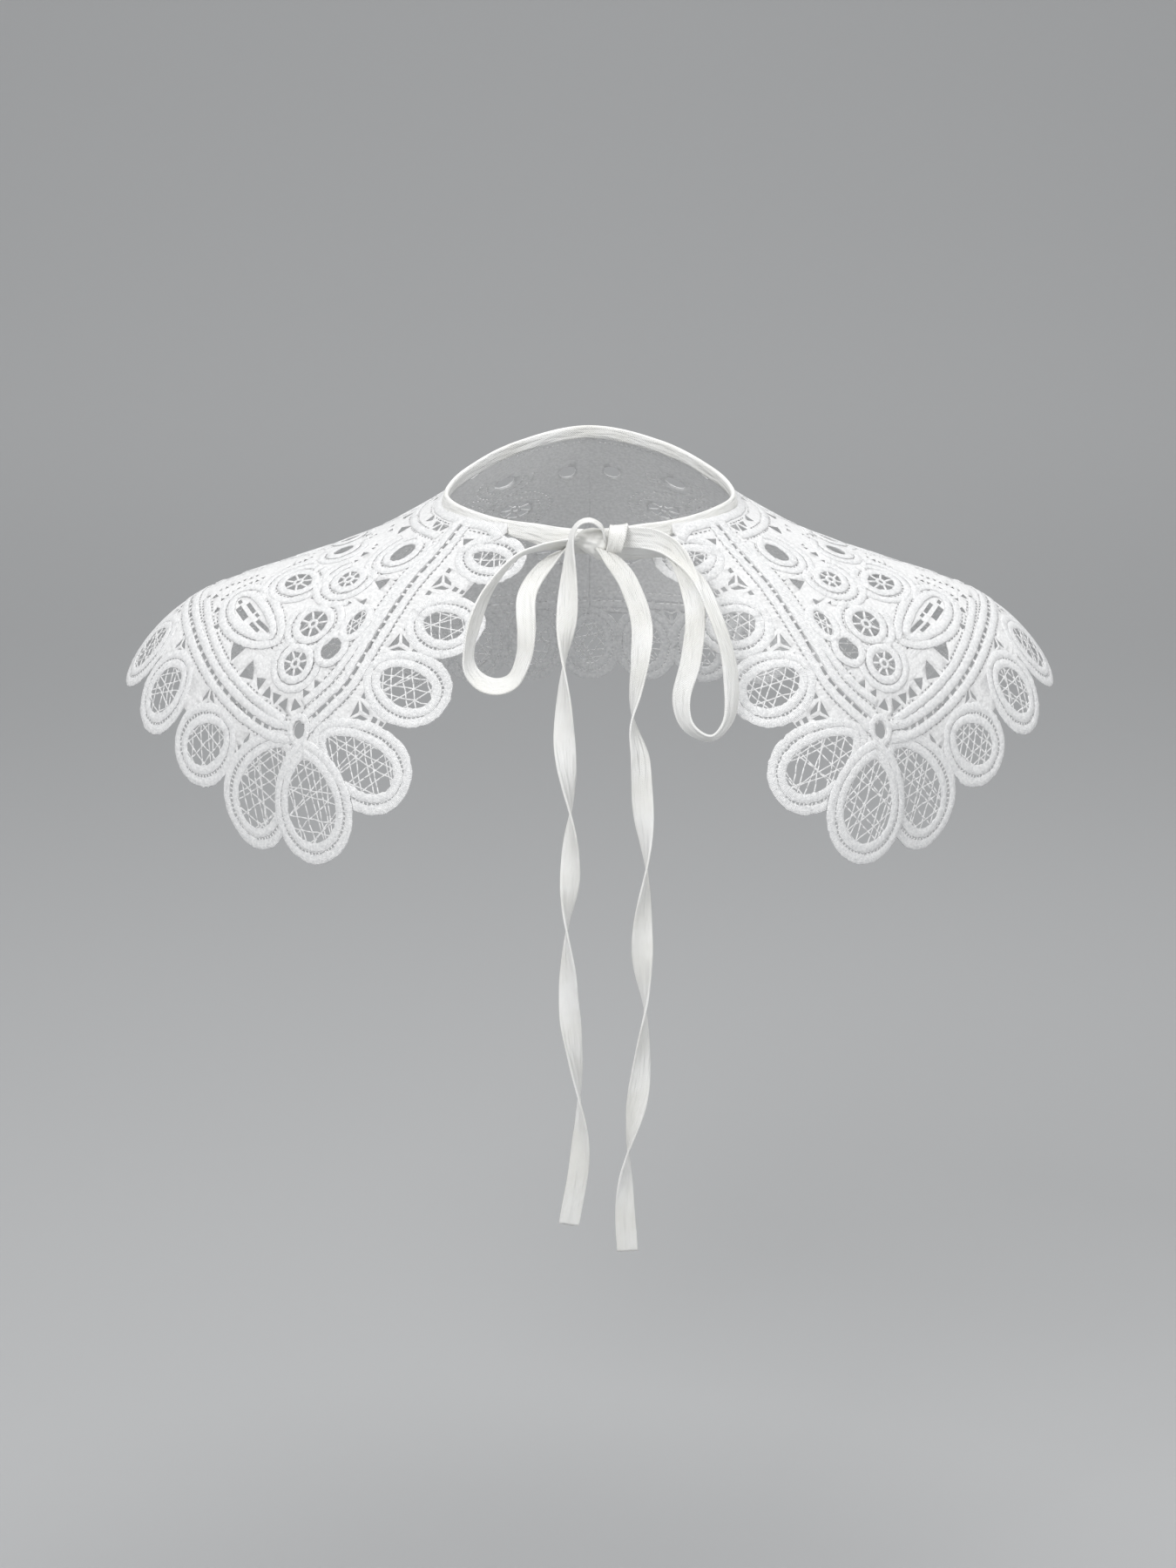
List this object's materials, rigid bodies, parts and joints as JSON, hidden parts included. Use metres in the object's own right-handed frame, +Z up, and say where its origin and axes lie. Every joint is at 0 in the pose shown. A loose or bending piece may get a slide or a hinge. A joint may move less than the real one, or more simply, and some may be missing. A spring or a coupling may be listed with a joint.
{
  "type": "peter pan collar",
  "caption": "Wide openwork tape lace collar with a petal edge, bound at the neck and tied at the front in a bow with two long hanging ends",
  "frame": {"origin": "centre of the neck opening, at the height of its sides", "axes": "+Z up, +X to the side of the wearer's left arm, -Y to the front, where the bow is"},
  "size_m": [0.4804, 0.3072, 0.3813],
  "materials": {
    "lace": "matte",
    "ribbon": "matte"
  },
  "bodies": {
    "root": {"lace_collar": "lace", "neck_binding": "ribbon", "bow_knot": "ribbon", "bow_loop_left": "ribbon", "bow_loop_right": "ribbon", "tie_tail_left": "ribbon", "tie_tail_right": "ribbon"}
  },
  "joints": []
}
